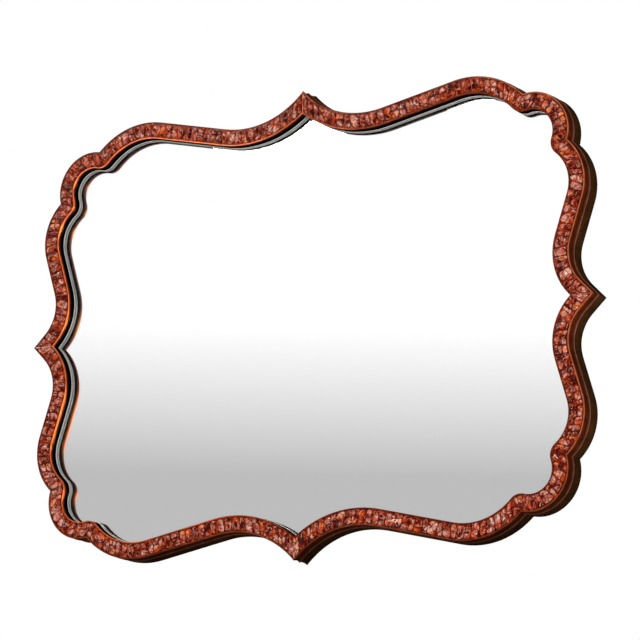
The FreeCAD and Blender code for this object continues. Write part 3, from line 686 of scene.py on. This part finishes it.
def plated(name, light, dark, spangle, rough):
    """Thin plating on pressed steel: satin, with a faint cloudiness and a slight unevenness."""
    material, tree, place = start_material(name)
    cloud = add_node(tree, "ShaderNodeTexNoise", {
        "Vector": place, "Scale": per(spangle), "Detail": 4, "Roughness": 0.6})
    colour = add_node(tree, "ShaderNodeValToRGB", {"Fac": cloud.outputs["Fac"]}, stops=[
        (0.36, dark), (0.62, light)])
    wear = add_node(tree, "ShaderNodeMapRange", {
        "Value": cloud.outputs["Fac"], "To Min": rough, "To Max": rough + 0.2})
    bump = add_node(tree, "ShaderNodeBump", {
        "Height": cloud.outputs["Fac"], "Strength": 0.1, "Distance": 0.1 * millimetre})
    end_material(tree, {
        "Base Color": colour.outputs[0], "Metallic": 1, "Roughness": wear.outputs[0],
        "Normal": bump.outputs[0]})
    return material


zinc = plated("zinc_plate", light="#C9CDD0", dark="#9BA1A6", spangle=4, rough=0.3)
steel = plated("screw_steel", light="#B9B6AE", dark="#86837C", spangle=2, rough=0.28)
brass = plated("brass_plate", light="#D9B46A", dark="#A9813E", spangle=5, rough=0.25)
dress(zinc, ["corner_brace_" + peak for peak in peaks])
dress(zinc, ["strap_hanger_left", "strap_hanger_right", "d_ring_left", "d_ring_right"])
dress(steel, ["brace_screws", "button_screws", "strap_screws"])
for quarter in quarters:
    dress(brass, ["turn_button_" + quarter + "_shoulder", "turn_button_" + quarter + "_waist"])


# Studio: a pale floor well below the mirror, soft lamps, and a white room that is greyer low
# down in front, which is what the lower half of the glass shows. Where the floor is seen, it
# glows a little to stay near white, and none of that light reaches a matt face.

floor_level = -2.6
floor_reach = 12.0
floor_glow = 0.62
floor_patch = 1.25
floor_mesh = bpy.data.meshes.new("studio_floor")
floor_corners = [
    (x * floor_reach, y * floor_reach, floor_level)
    for x, y in ((-1, -1), (1, -1), (1, 1), (-1, 1))]
floor_mesh.from_pydata(floor_corners, [], [(0, 1, 2, 3)])
floor = bpy.data.objects.new("studio_floor", floor_mesh)
bpy.context.scene.collection.objects.link(floor)
floor_material, floor_tree, floor_place = start_material("pale_floor")
grain = add_node(floor_tree, "ShaderNodeTexNoise", {
    "Vector": floor_place, "Scale": 1 / floor_patch})
pale = add_node(floor_tree, "ShaderNodeValToRGB", {"Fac": grain.outputs["Fac"]}, stops=[
    (0.3, "#F0EFEC"), (0.7, "#F5F4F2")])
floor_rays = add_node(floor_tree, "ShaderNodeLightPath").outputs
shown_in = add_node(floor_tree, "ShaderNodeMath", {
    0: floor_rays["Is Glossy Ray"], 1: floor_rays["Is Transmission Ray"]}, operation="MAXIMUM")
shown = add_node(floor_tree, "ShaderNodeMath", {
    0: floor_rays["Is Camera Ray"], 1: shown_in.outputs[0]}, operation="MAXIMUM")
glow = add_node(floor_tree, "ShaderNodeMath", {
    0: shown.outputs[0], 1: floor_glow}, operation="MULTIPLY")
end_material(floor_tree, {
    "Base Color": pale.outputs[0], "Roughness": 0.9, "Specular IOR Level": 0.0,
    "Emission Color": pale.outputs[0], "Emission Strength": glow.outputs[0]})
floor_material.cycles.emission_sampling = "NONE"
floor_mesh.materials.append(floor_material)


def studio_world():
    """White for the eye, plain soft light for matt faces; for gloss, grey low down, dim behind.

    The room is grey below a level and white above another, each the upward part of the unit
    vector that looks there.
    """
    grey_below = 0.1506
    white_above = 0.1999
    low_grey = 0.535
    high_white = 1.06
    side_blend = 0.15
    dim_behind = 0.12
    matt_light = 0.36
    world = bpy.data.worlds.new("studio")
    world.use_nodes = True
    tree = world.node_tree
    tree.nodes.clear()
    direction = add_node(tree, "ShaderNodeTexCoord").outputs["Generated"]
    parts = add_node(tree, "ShaderNodeSeparateXYZ", {"Vector": direction}).outputs
    low = add_node(tree, "ShaderNodeMapRange", {
        "Value": parts["Z"], "From Min": grey_below, "From Max": white_above,
        "To Min": low_grey, "To Max": high_white})
    behind = add_node(tree, "ShaderNodeMapRange", {
        "Value": parts["Y"], "From Min": -side_blend, "From Max": side_blend,
        "To Min": 1.0, "To Max": dim_behind})
    gloss = add_node(tree, "ShaderNodeMath", {
        0: low.outputs[0], 1: behind.outputs[0]}, operation="MULTIPLY")
    rays = add_node(tree, "ShaderNodeLightPath").outputs
    seen = add_node(tree, "ShaderNodeMath", {
        0: rays["Is Glossy Ray"], 1: rays["Is Transmission Ray"]}, operation="MAXIMUM")
    shine = add_node(tree, "ShaderNodeMix", {
        "Factor": seen.outputs[0], 2: matt_light, 3: gloss.outputs[0]})
    strength = add_node(tree, "ShaderNodeMix", {
        "Factor": rays["Is Camera Ray"], 2: shine.outputs[0], 3: 1.0})
    sky = add_node(tree, "ShaderNodeBackground", {
        "Color": (1, 1, 1, 1), "Strength": strength.outputs[0]})
    add_node(tree, "ShaderNodeOutputWorld", {"Surface": sky.outputs[0]})
    return world


bpy.context.scene.world = studio_world()


def soft_lamp(name, place, size, power):
    """Square soft box aimed at the middle of the mirror, its size in metres, power in watts."""
    light = bpy.data.lights.new(name, "AREA")
    light.size = size
    light.energy = power
    lamp = bpy.data.objects.new(name, light)
    lamp.location = place
    lamp.rotation_euler = Vector(place).to_track_quat("Z", "Y").to_euler()
    bpy.context.scene.collection.objects.link(lamp)


soft_lamp("key_box", place=(-2.1, -2.6, 2.5), size=2.4, power=70)
soft_lamp("glint_box", place=(-1.6, -2.6, 1.0), size=0.35, power=20)
soft_lamp("fill_box", place=(2.1, -2.8, -0.8), size=1.0, power=100)
soft_lamp("rear_box", place=(-1.2, 2.8, 1.8), size=2.0, power=56)


# Camera: a long lens to the right of the mirror and below its middle, tilted a trace, as
# solved from the photograph's outline.

view_azimuth = math.radians(30.09)
view_elevation = math.radians(-11.73)
view_roll = math.radians(1.05)
view_distance = 4.529
aim = Vector((39.2 * millimetre, -42 * millimetre, -0.5 * millimetre))
back = Vector((
    math.sin(view_azimuth) * math.cos(view_elevation),
    -math.cos(view_azimuth) * math.cos(view_elevation),
    math.sin(view_elevation),
))
level_right = Vector((math.cos(view_azimuth), math.sin(view_azimuth), 0))
level_up = back.cross(level_right)
right = level_right * math.cos(view_roll) + level_up * math.sin(view_roll)
up = level_up * math.cos(view_roll) - level_right * math.sin(view_roll)
camera_data = bpy.data.cameras.new("studio_camera")
camera_data.sensor_width = 36
camera_data.lens = 162.8
camera = bpy.data.objects.new("studio_camera", camera_data)
turn = Matrix((right, up, back)).transposed().to_4x4()
camera.matrix_world = Matrix.Translation(aim + back * view_distance) @ turn
bpy.context.scene.collection.objects.link(camera)
bpy.context.scene.camera = camera

bpy.context.scene.view_settings.view_transform = "Standard"
